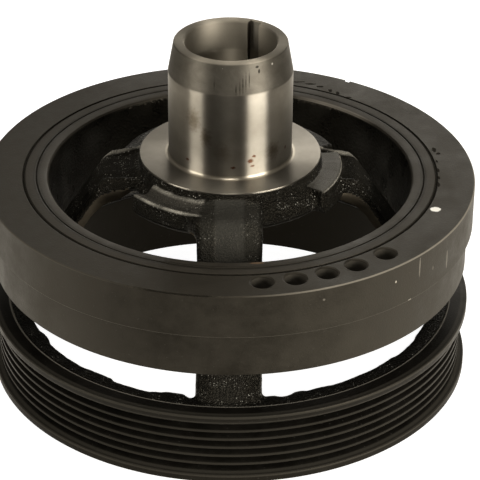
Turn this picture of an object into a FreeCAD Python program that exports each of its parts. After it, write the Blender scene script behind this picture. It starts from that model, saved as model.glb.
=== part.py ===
import FreeCAD, Part
import math
import os
import Sketcher

# Harmonic balancer, in millimetres.
# The part stands on the pulley's front face: z = 0 is that face, Z is the crankshaft axis and
# the snout points up. Heights are stacked from the pulley upwards.

os.makedirs("parts", exist_ok=True)
doc = FreeCAD.newDocument("harmonic_balancer")

# Driving sizes
SIZES = [
    # belt pulley, stacked from its front face, and inwards from its flanges
    ("flange_diameter", 186.6),
    ("front_flange_width", 3.0),
    ("front_slope_width", 0.725),
    ("groove_pitch", 3.56),
    ("groove_depth", 3.1),
    ("groove_angle", 40.0),
    ("groove_count", 6),
    ("crest_width", 0.85),
    ("rear_slope_width", 1.965),
    ("rear_flange_width", 2.6),
    ("flange_height", 2.3),
    ("flange_edge_break", 0.6),
    ("pulley_wall", 10.5),
    ("land_width", 6.8),
    ("land_step", 0.6),
    ("lip_width", 7.5),
    ("lip_thickness", 3.6),
    ("lip_fall", 0.5),
    # inertia ring, placed over the pulley
    ("ring_gap", 16.8),
    ("ring_height", 34.0),
    ("ring_overhang", 0.3),
    ("ring_section", 14.4),
    ("ring_upper_band", 16.9),
    ("ring_band_step", 2.0),
    ("ring_edge_break", 0.4),
    ("balance_hole_diameter", 8.0),
    ("balance_hole_depth", 6.0),
    ("balance_hole_inset", 9.3),
    ("balance_hole_count", 5),
    ("balance_first_angle", -82.2),
    ("balance_step_angle", 8.15),
    ("balance_last_extra_angle", 1.15),
    ("drill_point_angle", 118.0),
    ("notch_angle", 58.6),
    ("notch_width", 2.5),
    ("notch_depth", 1.6),
    ("notch_height", 9.0),
    # rubber ring
    ("rubber_thickness", 5.3),
    ("rubber_corner_radius", 0.7),
    ("rubber_recess", 0.8),
    # rim
    ("rim_top_wall", 4.5),
    ("rim_bottom_wall", 7.6),
    ("rim_edge_break", 0.4),
    ("rim_foot_bevel", 2.5),
    # snout, outwards from the bore
    ("bore_diameter", 34.8),
    ("bore_mouth_chamfer", 0.5),
    ("snout_wall", 6.1),
    ("snout_length", 34.6),
    ("taper_length", 11.5),
    ("taper_inset", 2.25),
    ("snout_root_radius", 0.8),
    ("washer_seat_width", 6.6),
    ("washer_seat_depth", 1.0),
    ("key_width", 4.76),
    ("key_depth", 2.4),
    ("key_angle", 61.0),
    # machined face and hub disc
    ("face_rise", 8.4),
    ("face_width", 11.1),
    ("face_thickness", 4.0),
    ("disc_land_width", 9.9),
    ("disc_thickness", 9.5),
    ("disc_edge_bevel", 0.8),
    # spokes
    ("spoke_count", 4),
    ("spoke_width", 24.0),
    ("spoke_shoulder_reach", 4.0),
    ("spoke_depth", 14.0),
    ("spoke_heel_inset", 3.5),
    ("spoke_knee_radius", 4.0),
    ("spoke_ring_clearance", 1.4),
    ("spoke_waist", 8.0),
    ("spoke_foot_inset", 1.5),
    ("spoke_under_bevel", 3.0),
    ("spoke_root_radius", 5.0),
    # as-cast low places on the hub disc
    ("low_cast_start", -80.0),
    ("low_cast_sweep", 48.0),
    ("low_cast_inner_drop", 1.2),
    ("low_cast_outer_drop", 6.0),
    ("cast_notch_start", 190.0),
    ("cast_notch_sweep", 26.5),
    ("cast_notch_drop", 6.5),
]

sheet = doc.addObject("Spreadsheet::Sheet", "Sizes")
for row, (alias, value) in enumerate(SIZES, start=1):
    sheet.set("A%d" % row, alias)
    sheet.set("B%d" % row, str(value))
    sheet.setAlias("B%d" % row, alias)
doc.recompute()


def size(alias):
    """A named size, as an expression over the sheet."""
    return "Sizes." + alias


def radius(alias):
    """Half of a named diameter, as an expression over the sheet."""
    return "(Sizes.%s / 2)" % alias


# Pulley: heights up from the front face, and radii in from the flanges
GROOVE_HALF = "((Sizes.groove_pitch - Sizes.crest_width) / 2)"
FIRST_GROOVE = "(Sizes.front_flange_width + Sizes.front_slope_width + %s)" % GROOVE_HALF
LAST_GROOVE = "(%s + (Sizes.groove_count - 1) * Sizes.groove_pitch)" % FIRST_GROOVE
REAR_SLOPE_TOP = "(%s + %s + Sizes.rear_slope_width)" % (LAST_GROOVE, GROOVE_HALF)
PULLEY_TOP = "(%s + Sizes.rear_flange_width)" % REAR_SLOPE_TOP
LIP_TOP = "(%s - Sizes.land_step - Sizes.lip_fall)" % PULLEY_TOP
LIP_BOTTOM = "(%s - Sizes.lip_thickness)" % LIP_TOP
FLANGE = radius("flange_diameter")
CREST = "(%s - Sizes.flange_height)" % FLANGE
LAND = "(%s - Sizes.land_width)" % FLANGE
LIP = "(%s - Sizes.lip_width)" % LAND
PULLEY_BORE = "(%s - Sizes.pulley_wall)" % FLANGE

# Inertia ring, rubber and rim: heights over the pulley, and radii in from the ring's outside
RING_BOTTOM = "(%s + Sizes.ring_gap)" % PULLEY_TOP
RING_TOP = "(%s + Sizes.ring_height)" % RING_BOTTOM
BAND_EDGE = "(%s - Sizes.ring_upper_band)" % RING_TOP
RING_UPPER = "(%s + Sizes.ring_overhang)" % FLANGE
RING_LOWER = "(%s - Sizes.ring_band_step)" % RING_UPPER
RING_BORE = "(%s - Sizes.ring_section)" % RING_UPPER
BOND_RADIUS = "(%s - Sizes.rubber_thickness)" % RING_BORE

# Snout, face and disc: heights over the ring, and radii out from the bore
FACE_TOP = "(%s + Sizes.face_rise)" % RING_TOP
DISC_TOP = "(%s - Sizes.face_thickness)" % FACE_TOP
DISC_BOTTOM = "(%s - Sizes.disc_thickness)" % DISC_TOP
TAPER_BOTTOM = "(%s + Sizes.snout_length)" % FACE_TOP
SNOUT_TOP = "(%s + Sizes.taper_length)" % TAPER_BOTTOM
BORE = radius("bore_diameter")
SEAT = "(%s + Sizes.washer_seat_width)" % BORE
SNOUT = "(%s + Sizes.snout_wall)" % BORE
FACE = "(%s + Sizes.face_width)" % SNOUT
DISC = "(%s + Sizes.disc_land_width)" % FACE

# Spokes: from inside the face out to the pulley's lip
SPOKE_START = "((%s + %s) / 2)" % (SEAT, FACE)
SHOULDER = "(%s + Sizes.spoke_shoulder_reach)" % DISC
SPOKE_FOOT = "(%s - Sizes.land_step - Sizes.spoke_foot_inset)" % LAND
SPOKE_UNDERSIDE = "(%s - Sizes.spoke_depth)" % DISC_TOP
SPOKE_HEEL = "(%s - Sizes.spoke_heel_inset)" % DISC
SPOKE_FLANK = "(Sizes.spoke_width / 2)"
WAIST_HEIGHT = "(%s - Sizes.spoke_ring_clearance)" % RING_BOTTOM
WAIST_INSIDE = "(%s - Sizes.spoke_waist)" % BOND_RADIUS


def number(expression):
    """The value of an expression, in millimetres or degrees."""
    result = sheet.evalExpression(expression)
    return float(getattr(result, "Value", result))


def origin_feature(body, role):
    """One of a body's own base planes or axes, found by its role."""
    return next(f for f in body.Origin.OriginFeatures if f.Role == role)


def new_body(name):
    body = doc.addObject("PartDesign::Body", name)
    body.Label = name
    return body


def new_sketch(body, name, role, lift="0", turn="0"):
    """A sketch on a base plane of its own body, lifted along or turned about the part's axis."""
    sketch = body.newObject("Sketcher::SketchObject", name)
    sketch.AttachmentSupport = [(origin_feature(body, role), "")]
    sketch.MapMode = "FlatFace"
    if role == "XY_Plane":
        axis = FreeCAD.Vector(0, 0, 1)
        sketch.setExpression(".AttachmentOffset.Base.z", lift)
    else:
        axis = FreeCAD.Vector(0, 1, 0)
    sketch.AttachmentOffset = FreeCAD.Placement(FreeCAD.Vector(), FreeCAD.Rotation(axis, 1.0))
    sketch.setExpression(".AttachmentOffset.Rotation.Angle", turn)
    return sketch


def place_point(sketch, geometry, point, across, along):
    """Ties one point of a sketch to two expressions, measured from the origin."""
    for kind, expression in (("DistanceX", across), ("DistanceY", along)):
        value = number(expression)
        index = sketch.addConstraint(Sketcher.Constraint(kind, -1, 1, geometry, point, value))
        sketch.setExpression("Constraints[%d]" % index, expression)


def outline(sketch, corners):
    """A closed outline of straight runs, each corner a pair of expressions."""
    points = [FreeCAD.Vector(number(a), number(b), 0) for a, b in corners]
    count = len(corners)
    for i in range(count):
        sketch.addGeometry(Part.LineSegment(points[i], points[(i + 1) % count]), False)
    for i in range(count):
        sketch.addConstraint(Sketcher.Constraint("Coincident", i, 2, (i + 1) % count, 1))
    for i, (across, along) in enumerate(corners):
        place_point(sketch, i, 1, across, along)
    return sketch


def revolve(body, kind, name, sketch, angle="360"):
    """A solid or a cut turned about the part's axis from a sketch on the XZ plane."""
    feature = body.newObject("PartDesign::" + kind, name)
    feature.Profile = sketch
    feature.ReferenceAxis = (origin_feature(body, "Z_Axis"), [""])
    feature.setExpression("Angle", angle)
    doc.recompute()
    return feature


def edges_where(feature, test):
    """Names of the edges of a feature's shape that pass a test."""
    return ["Edge%d" % (i + 1) for i, edge in enumerate(feature.Shape.Edges) if test(edge)]


def dress(body, kind, name, base, edges, length):
    """A fillet or chamfer of a named size on chosen edges."""
    feature = body.newObject("PartDesign::" + kind, name)
    feature.Base = (base, edges)
    feature.setExpression("Radius" if kind == "Fillet" else "Size", length)
    doc.recompute()
    return feature


def volume_after(feature, less_than=None, more_than=None):
    """Stops if a cut cut nothing or an addition added nothing."""
    volume = feature.Shape.Volume
    if less_than is not None and not volume < less_than - 1e-3:
        raise ValueError(feature.Name + " removed nothing")
    if more_than is not None and not volume > more_than + 1e-3:
        raise ValueError(feature.Name + " added nothing")
    return volume


# Tests that find the casting's edges by their place

TOLERANCE = 1e-4


def near(value, expression):
    return abs(value - number(expression)) < TOLERANCE


def ends(edge):
    return [vertex.Point for vertex in edge.Vertexes]


def along_spoke(point):
    """How far a point lies out along the nearest spoke, and how far off its middle."""
    step = 2 * math.pi / number(size("spoke_count"))
    turn = round(math.atan2(point.y, point.x) / step) * step
    out = point.x * math.cos(turn) + point.y * math.sin(turn)
    off = point.y * math.cos(turn) - point.x * math.sin(turn)
    return out, abs(off)


def is_snout_root(edge):
    circle = isinstance(edge.Curve, Part.Circle) and near(edge.Curve.Radius, SNOUT)
    return circle and near(edge.BoundBox.ZMin, FACE_TOP) and near(edge.BoundBox.ZMax, FACE_TOP)


def is_spoke_knee(edge):
    """The cross edge where a spoke's top turns down."""
    if not isinstance(edge.Curve, (Part.Line, Part.LineSegment)):
        return False
    return all(near(p.z, DISC_TOP) and near(along_spoke(p)[0], SHOULDER) for p in ends(edge))


def is_spoke_underside(edge):
    """A long lower edge of a spoke: level, down to its waist, or from its waist to the lip."""
    if not isinstance(edge.Curve, (Part.Line, Part.LineSegment)) or len(edge.Vertexes) < 2:
        return False
    on_flank = all(near(along_spoke(p)[1], SPOKE_FLANK) for p in ends(edge))
    turn = [(SHOULDER, SPOKE_UNDERSIDE), (WAIST_INSIDE, WAIST_HEIGHT)]
    at_turn = [any(near(along_spoke(p)[0], out) and near(p.z, up) for out, up in turn)
               for p in ends(edge)]
    a, b = ends(edge)
    upright = abs(a.x - b.x) < TOLERANCE and abs(a.y - b.y) < TOLERANCE
    return on_flank and any(at_turn) and not upright


def is_spoke_root(edge):
    """The upright inner corner between a spoke's flank and the disc's rim."""
    if not isinstance(edge.Curve, (Part.Line, Part.LineSegment)) or len(edge.Vertexes) < 2:
        return False
    a, b = ends(edge)
    upright = abs(a.x - b.x) < TOLERANCE and abs(a.y - b.y) < TOLERANCE
    full_height = near(max(a.z, b.z), "(%s - Sizes.disc_edge_bevel)" % DISC_TOP)
    return (upright and full_height and near(math.hypot(a.x, a.y), DISC)
            and near(along_spoke(a)[1], SPOKE_FLANK))


# Hub casting: snout, face and disc

hub = new_body("hub_casting")
core = outline(new_sketch(hub, "core_profile", "XZ_Plane"), [
    (BORE, "(%s + Sizes.washer_seat_depth)" % DISC_BOTTOM),
    (SEAT, "(%s + Sizes.washer_seat_depth)" % DISC_BOTTOM),
    (SEAT, DISC_BOTTOM),
    (DISC, DISC_BOTTOM),
    (DISC, "(%s - Sizes.disc_edge_bevel)" % DISC_TOP),
    ("(%s - Sizes.disc_edge_bevel)" % DISC, DISC_TOP),
    (FACE, DISC_TOP),
    (FACE, FACE_TOP),
    (SNOUT, FACE_TOP),
    (SNOUT, TAPER_BOTTOM),
    ("(%s - Sizes.taper_inset)" % SNOUT, SNOUT_TOP),
    ("(%s + Sizes.bore_mouth_chamfer)" % BORE, SNOUT_TOP),
    (BORE, "(%s - Sizes.bore_mouth_chamfer)" % SNOUT_TOP),
])
core_solid = revolve(hub, "Revolution", "core", core)
volume = volume_after(core_solid, more_than=0)

# Low as-cast places on the disc: a sloping sector beside the front spoke, and a mould notch

low_sketch = outline(
    new_sketch(hub, "low_cast_profile", "XZ_Plane", turn=size("low_cast_start")), [
        (FACE, "(%s - Sizes.low_cast_inner_drop)" % DISC_TOP),
        (SHOULDER, "(%s - Sizes.low_cast_outer_drop)" % DISC_TOP),
        (SHOULDER, FACE_TOP),
        (FACE, FACE_TOP),
    ])
low_cut = revolve(hub, "Groove", "low_cast", low_sketch, size("low_cast_sweep"))
volume = volume_after(low_cut, less_than=volume)

notch_sketch = outline(
    new_sketch(hub, "cast_notch_profile", "XZ_Plane", turn=size("cast_notch_start")), [
        (FACE, "(%s - Sizes.cast_notch_drop)" % DISC_TOP),
        (SHOULDER, "(%s - Sizes.cast_notch_drop)" % DISC_TOP),
        (SHOULDER, FACE_TOP),
        (FACE, FACE_TOP),
    ])
notch_cut = revolve(hub, "Groove", "cast_notch", notch_sketch, size("cast_notch_sweep"))
volume = volume_after(notch_cut, less_than=volume)

# One spoke, from the disc down through the rim to the pulley's lip, then the pattern of four

spoke_sketch = outline(new_sketch(hub, "spoke_profile", "XZ_Plane"), [
    (SPOKE_START, DISC_TOP),
    (SHOULDER, DISC_TOP),
    (BOND_RADIUS, WAIST_HEIGHT),
    (SPOKE_FOOT, LIP_TOP),
    (SPOKE_FOOT, LIP_BOTTOM),
    (LIP, LIP_BOTTOM),
    (WAIST_INSIDE, WAIST_HEIGHT),
    (SHOULDER, SPOKE_UNDERSIDE),
    (SPOKE_HEEL, SPOKE_UNDERSIDE),
    ("(%s - (%s - %s))" % (SPOKE_HEEL, DISC_BOTTOM, SPOKE_UNDERSIDE), DISC_BOTTOM),
    (SPOKE_START, DISC_BOTTOM),
])
spoke = hub.newObject("PartDesign::Pad", "spoke")
spoke.Profile = spoke_sketch
spoke.SideType = "Symmetric"
spoke.setExpression("Length", size("spoke_width"))
doc.recompute()
volume = volume_after(spoke, more_than=volume)

spokes = hub.newObject("PartDesign::PolarPattern", "spokes")
spokes.Originals = [spoke]
spokes.Axis = (origin_feature(hub, "Z_Axis"), [""])
spokes.Angle = 360
spokes.setExpression("Occurrences", size("spoke_count"))
hub.Tip = spokes
doc.recompute()
volume = volume_after(spokes, more_than=volume)

spoke_roots = dress(hub, "Fillet", "spoke_roots", spokes, edges_where(spokes, is_spoke_root),
                    size("spoke_root_radius"))
volume = volume_after(spoke_roots, more_than=volume)
spoke_knees = dress(hub, "Fillet", "spoke_knees", spoke_roots,
                    edges_where(spoke_roots, is_spoke_knee), size("spoke_knee_radius"))
volume = volume_after(spoke_knees, less_than=volume)
spoke_undersides = dress(hub, "Chamfer", "spoke_undersides", spoke_knees,
                         edges_where(spoke_knees, is_spoke_underside), size("spoke_under_bevel"))
volume = volume_after(spoke_undersides, less_than=volume)

# Rim that carries the rubber ring

rim_sketch = outline(new_sketch(hub, "rim_profile", "XZ_Plane"), [
    (BOND_RADIUS, RING_BOTTOM),
    (BOND_RADIUS, RING_TOP),
    ("(%s - Sizes.rim_top_wall + Sizes.rim_edge_break)" % BOND_RADIUS, RING_TOP),
    ("(%s - Sizes.rim_top_wall)" % BOND_RADIUS, "(%s - Sizes.rim_edge_break)" % RING_TOP),
    ("(%s - Sizes.rim_bottom_wall)" % BOND_RADIUS, "(%s + Sizes.rim_foot_bevel)" % RING_BOTTOM),
    ("(%s - Sizes.rim_bottom_wall + Sizes.rim_foot_bevel)" % BOND_RADIUS, RING_BOTTOM),
])
rim = revolve(hub, "Revolution", "rim", rim_sketch)
volume = volume_after(rim, more_than=volume)

# Pulley: flanged band with a cast lip inside and a machined land on top

pulley_sketch = outline(new_sketch(hub, "pulley_profile", "XZ_Plane"), [
    (PULLEY_BORE, "0"),
    ("(%s - Sizes.flange_edge_break)" % FLANGE, "0"),
    (FLANGE, size("flange_edge_break")),
    (FLANGE, size("front_flange_width")),
    (CREST, "(%s - %s)" % (FIRST_GROOVE, GROOVE_HALF)),
    (CREST, "(%s + %s)" % (LAST_GROOVE, GROOVE_HALF)),
    (FLANGE, REAR_SLOPE_TOP),
    (FLANGE, PULLEY_TOP),
    (LAND, PULLEY_TOP),
    ("(%s - Sizes.land_step)" % LAND, "(%s - Sizes.land_step)" % PULLEY_TOP),
    (LIP, LIP_TOP),
    (LIP, LIP_BOTTOM),
    (PULLEY_BORE, "(%s - (%s - %s))" % (LIP_BOTTOM, PULLEY_BORE, LIP)),
])
pulley = revolve(hub, "Revolution", "pulley", pulley_sketch)
volume = volume_after(pulley, more_than=volume)

# Belt grooves: one V groove, repeated at the belt's pitch

ROOT = "(%s - Sizes.groove_depth)" % CREST
ROOT_HALF = "(%s - Sizes.groove_depth * tan(Sizes.groove_angle / 2))" % GROOVE_HALF
groove_sketch = outline(new_sketch(hub, "groove_profile", "XZ_Plane"), [
    (CREST, "(%s - %s)" % (FIRST_GROOVE, GROOVE_HALF)),
    (ROOT, "(%s - %s)" % (FIRST_GROOVE, ROOT_HALF)),
    (ROOT, "(%s + %s)" % (FIRST_GROOVE, ROOT_HALF)),
    (CREST, "(%s + %s)" % (FIRST_GROOVE, GROOVE_HALF)),
])
groove = revolve(hub, "Groove", "groove", groove_sketch)
volume = volume_after(groove, less_than=volume)

grooves = hub.newObject("PartDesign::LinearPattern", "grooves")
grooves.Originals = [groove]
grooves.Direction = (origin_feature(hub, "Z_Axis"), [""])
grooves.Mode = "Spacing"
grooves.setExpression("Offset", size("groove_pitch"))
grooves.setExpression("Occurrences", size("groove_count"))
hub.Tip = grooves
doc.recompute()
volume = volume_after(grooves, less_than=volume)

# Keyway, broached along the whole bore

key_sketch = outline(
    new_sketch(hub, "key_profile", "XY_Plane", lift=SNOUT_TOP, turn=size("key_angle")), [
        ("0", "(-Sizes.key_width / 2)"),
        ("(%s + Sizes.key_depth)" % BORE, "(-Sizes.key_width / 2)"),
        ("(%s + Sizes.key_depth)" % BORE, "(Sizes.key_width / 2)"),
        ("0", "(Sizes.key_width / 2)"),
    ])
keyway = hub.newObject("PartDesign::Pocket", "keyway")
keyway.Profile = key_sketch
keyway.setExpression("Length", "(%s - %s)" % (SNOUT_TOP, DISC_BOTTOM))
doc.recompute()
volume = volume_after(keyway, less_than=volume)

# Fillet at the root of the snout

snout_root = dress(hub, "Fillet", "snout_root", keyway, edges_where(keyway, is_snout_root),
                   size("snout_root_radius"))
volume = volume_after(snout_root, more_than=volume)

# Rubber ring, bonded between the rim and the inertia ring

rubber = new_body("rubber_ring")
RUBBER_BOTTOM = "(%s + Sizes.rubber_recess)" % RING_BOTTOM
rubber_sketch = outline(new_sketch(rubber, "rubber_profile", "XZ_Plane"), [
    (BOND_RADIUS, RUBBER_BOTTOM),
    (BOND_RADIUS, RING_TOP),
    (RING_BORE, RING_TOP),
    (RING_BORE, RUBBER_BOTTOM),
])
rubber_solid = revolve(rubber, "Revolution", "rubber", rubber_sketch)
rubber_top = edges_where(rubber_solid, lambda edge: isinstance(edge.Curve, Part.Circle)
                         and near(edge.BoundBox.ZMin, RING_TOP))
rubber_corners = dress(rubber, "Fillet", "rubber_corners", rubber_solid, rubber_top,
                       size("rubber_corner_radius"))
volume_after(rubber_corners, less_than=rubber_solid.Shape.Volume)

# Inertia ring: two bands, drilled balance holes and the timing notch

ring = new_body("inertia_ring")
ring_sketch = outline(new_sketch(ring, "ring_profile", "XZ_Plane"), [
    (RING_BORE, RING_BOTTOM),
    ("(%s - Sizes.ring_edge_break)" % RING_LOWER, RING_BOTTOM),
    (RING_LOWER, "(%s + Sizes.ring_edge_break)" % RING_BOTTOM),
    (RING_LOWER, "(%s - (%s - %s) / 2)" % (BAND_EDGE, RING_UPPER, RING_LOWER)),
    (RING_UPPER, BAND_EDGE),
    (RING_UPPER, "(%s - Sizes.ring_edge_break)" % RING_TOP),
    ("(%s - Sizes.ring_edge_break)" % RING_UPPER, RING_TOP),
    (RING_BORE, RING_TOP),
])
ring_solid = revolve(ring, "Revolution", "ring", ring_sketch)
volume = ring_solid.Shape.Volume

hole_sketch = new_sketch(ring, "balance_hole_centres", "XY_Plane", lift=RING_TOP)
hole_count = int(number(size("balance_hole_count")))
hole_radius = radius("balance_hole_diameter")
for i in range(hole_count):
    angle = "(Sizes.balance_first_angle + %d * Sizes.balance_step_angle)" % i
    if i == hole_count - 1:
        angle = "(%s + Sizes.balance_last_extra_angle)" % angle
    across = "((%s - Sizes.balance_hole_inset) * cos(%s))" % (RING_UPPER, angle)
    along = "((%s - Sizes.balance_hole_inset) * sin(%s))" % (RING_UPPER, angle)
    centre = FreeCAD.Vector(number(across), number(along), 0)
    hole_sketch.addGeometry(
        Part.Circle(centre, FreeCAD.Vector(0, 0, 1), number(hole_radius)), False)
    place_point(hole_sketch, i, 3, across, along)
    index = hole_sketch.addConstraint(Sketcher.Constraint("Radius", i, number(hole_radius)))
    hole_sketch.setExpression("Constraints[%d]" % index, hole_radius)
doc.recompute()
balance_holes = ring.newObject("PartDesign::Hole", "balance_holes")
balance_holes.Profile = hole_sketch
balance_holes.Threaded = False
balance_holes.DepthType = "Dimension"
balance_holes.DrillPoint = "Angled"
balance_holes.setExpression("DrillPointAngle", size("drill_point_angle"))
balance_holes.setExpression("Diameter", size("balance_hole_diameter"))
balance_holes.setExpression("Depth", size("balance_hole_depth"))
doc.recompute()
volume = volume_after(balance_holes, less_than=volume)

mark_sketch = outline(
    new_sketch(ring, "timing_notch_profile", "XY_Plane", lift=RING_TOP, turn=size("notch_angle")), [
        ("(%s - Sizes.notch_depth)" % RING_UPPER, "(-Sizes.notch_width / 2)"),
        ("(%s + Sizes.notch_depth)" % RING_UPPER, "(-Sizes.notch_width / 2)"),
        ("(%s + Sizes.notch_depth)" % RING_UPPER, "(Sizes.notch_width / 2)"),
        ("(%s - Sizes.notch_depth)" % RING_UPPER, "(Sizes.notch_width / 2)"),
    ])
timing_notch = ring.newObject("PartDesign::Pocket", "timing_notch")
timing_notch.Profile = mark_sketch
timing_notch.setExpression("Length", size("notch_height"))
doc.recompute()
volume = volume_after(timing_notch, less_than=volume)

# Every object is sound before anything is written

doc.recompute()
for item in doc.Objects:
    if "Invalid" in item.State or "Error" in item.State:
        raise ValueError("%s is %s" % (item.Name, item.State))
for body in (hub, rubber, ring):
    shape = body.Shape
    if shape.isNull() or not shape.isValid() or len(shape.Solids) != 1:
        raise ValueError(body.Label + " is not one sound solid")
    shape.exportStep("parts/%s.step" % body.Label)
    box = shape.BoundBox
    print("%s %.0f mm3, z %.2f to %.2f, x %.2f to %.2f" % (
        body.Label, shape.Volume, box.ZMin, box.ZMax, box.XMin, box.XMax))
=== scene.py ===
import math

import bpy
from mathutils import Matrix, Vector


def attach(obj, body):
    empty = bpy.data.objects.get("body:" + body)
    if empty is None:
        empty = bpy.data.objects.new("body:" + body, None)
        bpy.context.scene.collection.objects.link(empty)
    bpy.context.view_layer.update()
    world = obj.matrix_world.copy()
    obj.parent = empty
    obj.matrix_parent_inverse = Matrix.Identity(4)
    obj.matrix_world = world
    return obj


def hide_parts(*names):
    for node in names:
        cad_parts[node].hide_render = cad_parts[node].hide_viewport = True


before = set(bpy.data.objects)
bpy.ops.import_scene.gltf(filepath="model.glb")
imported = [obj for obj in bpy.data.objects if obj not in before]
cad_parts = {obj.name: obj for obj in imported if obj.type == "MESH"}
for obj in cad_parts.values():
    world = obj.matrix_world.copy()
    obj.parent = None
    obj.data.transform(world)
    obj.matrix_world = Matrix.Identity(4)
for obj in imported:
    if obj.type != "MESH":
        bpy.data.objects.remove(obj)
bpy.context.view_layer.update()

# The rough casting: hub disc, four spokes and the ragged lip inside the pulley
# Grey iron poured in a sand mould and painted gloss black. It is one body with the snout, the rim
# and the pulley, and is drawn in simple solids that are fused, softened and roughened like a casting.


def draw_outline(name, corners):
    """An outline in the XZ plane, drawn corner by corner in millimetres and left in edit mode."""
    bpy.ops.object.select_all(action="DESELECT")
    x, z = corners[0]
    bpy.ops.mesh.primitive_plane_add(size=0.002, location=(x / 1000, 0, z / 1000))
    piece = bpy.context.object
    piece.name = piece.data.name = name
    bpy.ops.object.transform_apply(location=True)
    bpy.ops.object.mode_set(mode="EDIT")
    bpy.ops.mesh.select_mode(type="VERT")
    bpy.ops.mesh.select_all(action="SELECT")
    bpy.ops.mesh.merge(type="CENTER")
    for next_x, next_z in corners[1:]:
        step = ((next_x - x) / 1000, 0, (next_z - z) / 1000)
        bpy.ops.mesh.extrude_vertices_move(TRANSFORM_OT_translate={"value": step})
        x, z = next_x, next_z
    bpy.ops.mesh.select_all(action="SELECT")
    return piece


def close_skin():
    """Joins doubled corners, turns every face outwards and leaves edit mode."""
    bpy.ops.mesh.select_all(action="SELECT")
    bpy.ops.mesh.remove_doubles(threshold=1e-6)
    bpy.ops.mesh.normals_make_consistent(inside=False)
    bpy.ops.object.mode_set(mode="OBJECT")


def turn_piece(name, outline, steps):
    """A closed outline of (radius, height) in millimetres, spun right round the crankshaft axis."""
    piece = draw_outline(name, outline + outline[:1])
    bpy.ops.mesh.spin(steps=steps, angle=math.tau, center=(0, 0, 0), axis=(0, 0, 1))
    close_skin()
    return piece


def sweep_sector(name, outline, start, end):
    """A closed outline swept about the axis from one angle to another, in degrees."""
    piece = draw_outline(name, outline)
    bpy.ops.mesh.edge_face_add()
    bpy.ops.mesh.spin(steps=max(4, round(abs(end - start) / 3)), angle=math.radians(start - end),
                      center=(0, 0, 0), axis=(0, 0, 1))
    close_skin()
    piece.rotation_euler.z = math.radians(start)
    bpy.ops.object.transform_apply(rotation=True)
    return piece


def pick(piece, test):
    """Selects, in edit mode, the corners whose x, y and z in millimetres pass a test."""
    bpy.ops.object.mode_set(mode="EDIT")
    bpy.ops.mesh.select_all(action="DESELECT")
    bpy.ops.object.mode_set(mode="OBJECT")
    for corner in piece.data.vertices:
        corner.select = test(*(value * 1000 for value in corner.co))
    bpy.ops.object.mode_set(mode="EDIT")


def select_only(piece):
    """Selects one piece alone and makes it the active one."""
    bpy.ops.object.select_all(action="DESELECT")
    piece.select_set(True)
    bpy.context.view_layer.objects.active = piece


def add_modifier(piece, kind, **settings):
    """Adds a modifier, gives it its settings and applies it."""
    select_only(piece)
    modifier = piece.modifiers.new(kind.title(), kind)
    for key, value in settings.items():
        setattr(modifier, key, value)
    bpy.ops.object.modifier_apply(modifier=modifier.name)


def join_pieces(name, pieces):
    """Joins several pieces into the first one, which gets a new name."""
    bpy.ops.object.select_all(action="DESELECT")
    for piece in pieces:
        piece.select_set(True)
    bpy.context.view_layer.objects.active = pieces[0]
    bpy.ops.object.join()
    pieces[0].name = pieces[0].data.name = name
    return pieces[0]


DISC_FOOT = 74.6
disc = turn_piece("disc", [(23.9, DISC_FOOT), (35.6, DISC_FOOT), (36.6, 75.9), (36.4, 77.6), (34.5, 79.6),
                           (34.4, 87.5), (23.9, 87.5)], 96)

# The disc's edge and the raised lobes on it are sectors, each with its first and last angle
DISC_EDGE = [(33, DISC_FOOT), (43.6, DISC_FOOT), (44.2, 75.3), (44.2, 77.6), (33, 77.6)]
LOBE_FOOT = 76
LEFT_LOBE = (217, 262)
lobes = [
    sweep_sector("wide_edge", DISC_EDGE, -36, 188),
    sweep_sector("left_edge", DISC_EDGE, *LEFT_LOBE),
    sweep_sector("rear_lobe", [
        (33, LOBE_FOOT), (43.4, LOBE_FOOT), (43.4, 81.6), (42.8, 82.2), (35.5, 82.6), (33, 84.6)], 22, 166),
    sweep_sector("left_lobe", [
        (33, LOBE_FOOT), (45.4, LOBE_FOOT), (45.5, 82.2), (45.0, 83.3), (43.9, 83.9), (43.1, 83.6),
        (41.2, 82.2), (39.2, 82.2), (37.8, 83.0), (36.9, 84.6), (36.3, 85.2), (35.7, 84.9), (35.0, 83.2),
        (33, 83.2)], *LEFT_LOBE),
    sweep_sector("right_lobe", [
        (33, LOBE_FOOT), (42.9, LOBE_FOOT), (42.9, 83.0), (42.3, 83.7), (33, 83.7)], -36, 12),
    sweep_sector("low_slope", [
        (33, DISC_FOOT), (38.4, DISC_FOOT), (40.2, 76.2), (40.3, 78.6), (39.4, 79.7), (36.0, 83.2),
        (33, 84.6)], -82, -31),
]

# The left lobe runs into the front spoke in a small fillet, built up in four steps
for step, (reach, start) in enumerate(((46.1, -110.0), (46.9, -108.2), (48.0, -106.8), (49.4, -105.6))):
    lobes.append(sweep_sector(f"root_{step}", [
        (40, 76.5), (reach, 76.5), (reach, 82.0), (reach - 0.7, 83.0), (40, 83.6)], start, -101))

# One half of a spoke is drawn at its middle and built outwards, then mirrored
SPOKE_SIDE = [
    (29, 86.4), (35.0, 86.4), (37.5, 84.9), (41, 84.2), (46.6, 84), (48.6, 83.5), (50.1, 82.0), (73.9, 44.2),
    (84.6, 27.4), (84.6, 24.2), (79.5, 24.2), (65.9, 44.2), (53.0, 63.6), (50.6, 66.6), (47.6, 69.2),
    (41.2, 71.8), (37.5, 74.8), (29, 75)]


def is_upper(x, z):
    """Whether a corner is above the line that parts the spoke's outline, which slants outside the knee."""
    return z > 77 - 1.536 * max(0.0, x - 48.5)


spoke = draw_outline("spoke", SPOKE_SIDE)
bpy.ops.mesh.edge_face_add()
reached = 0.0

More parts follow.
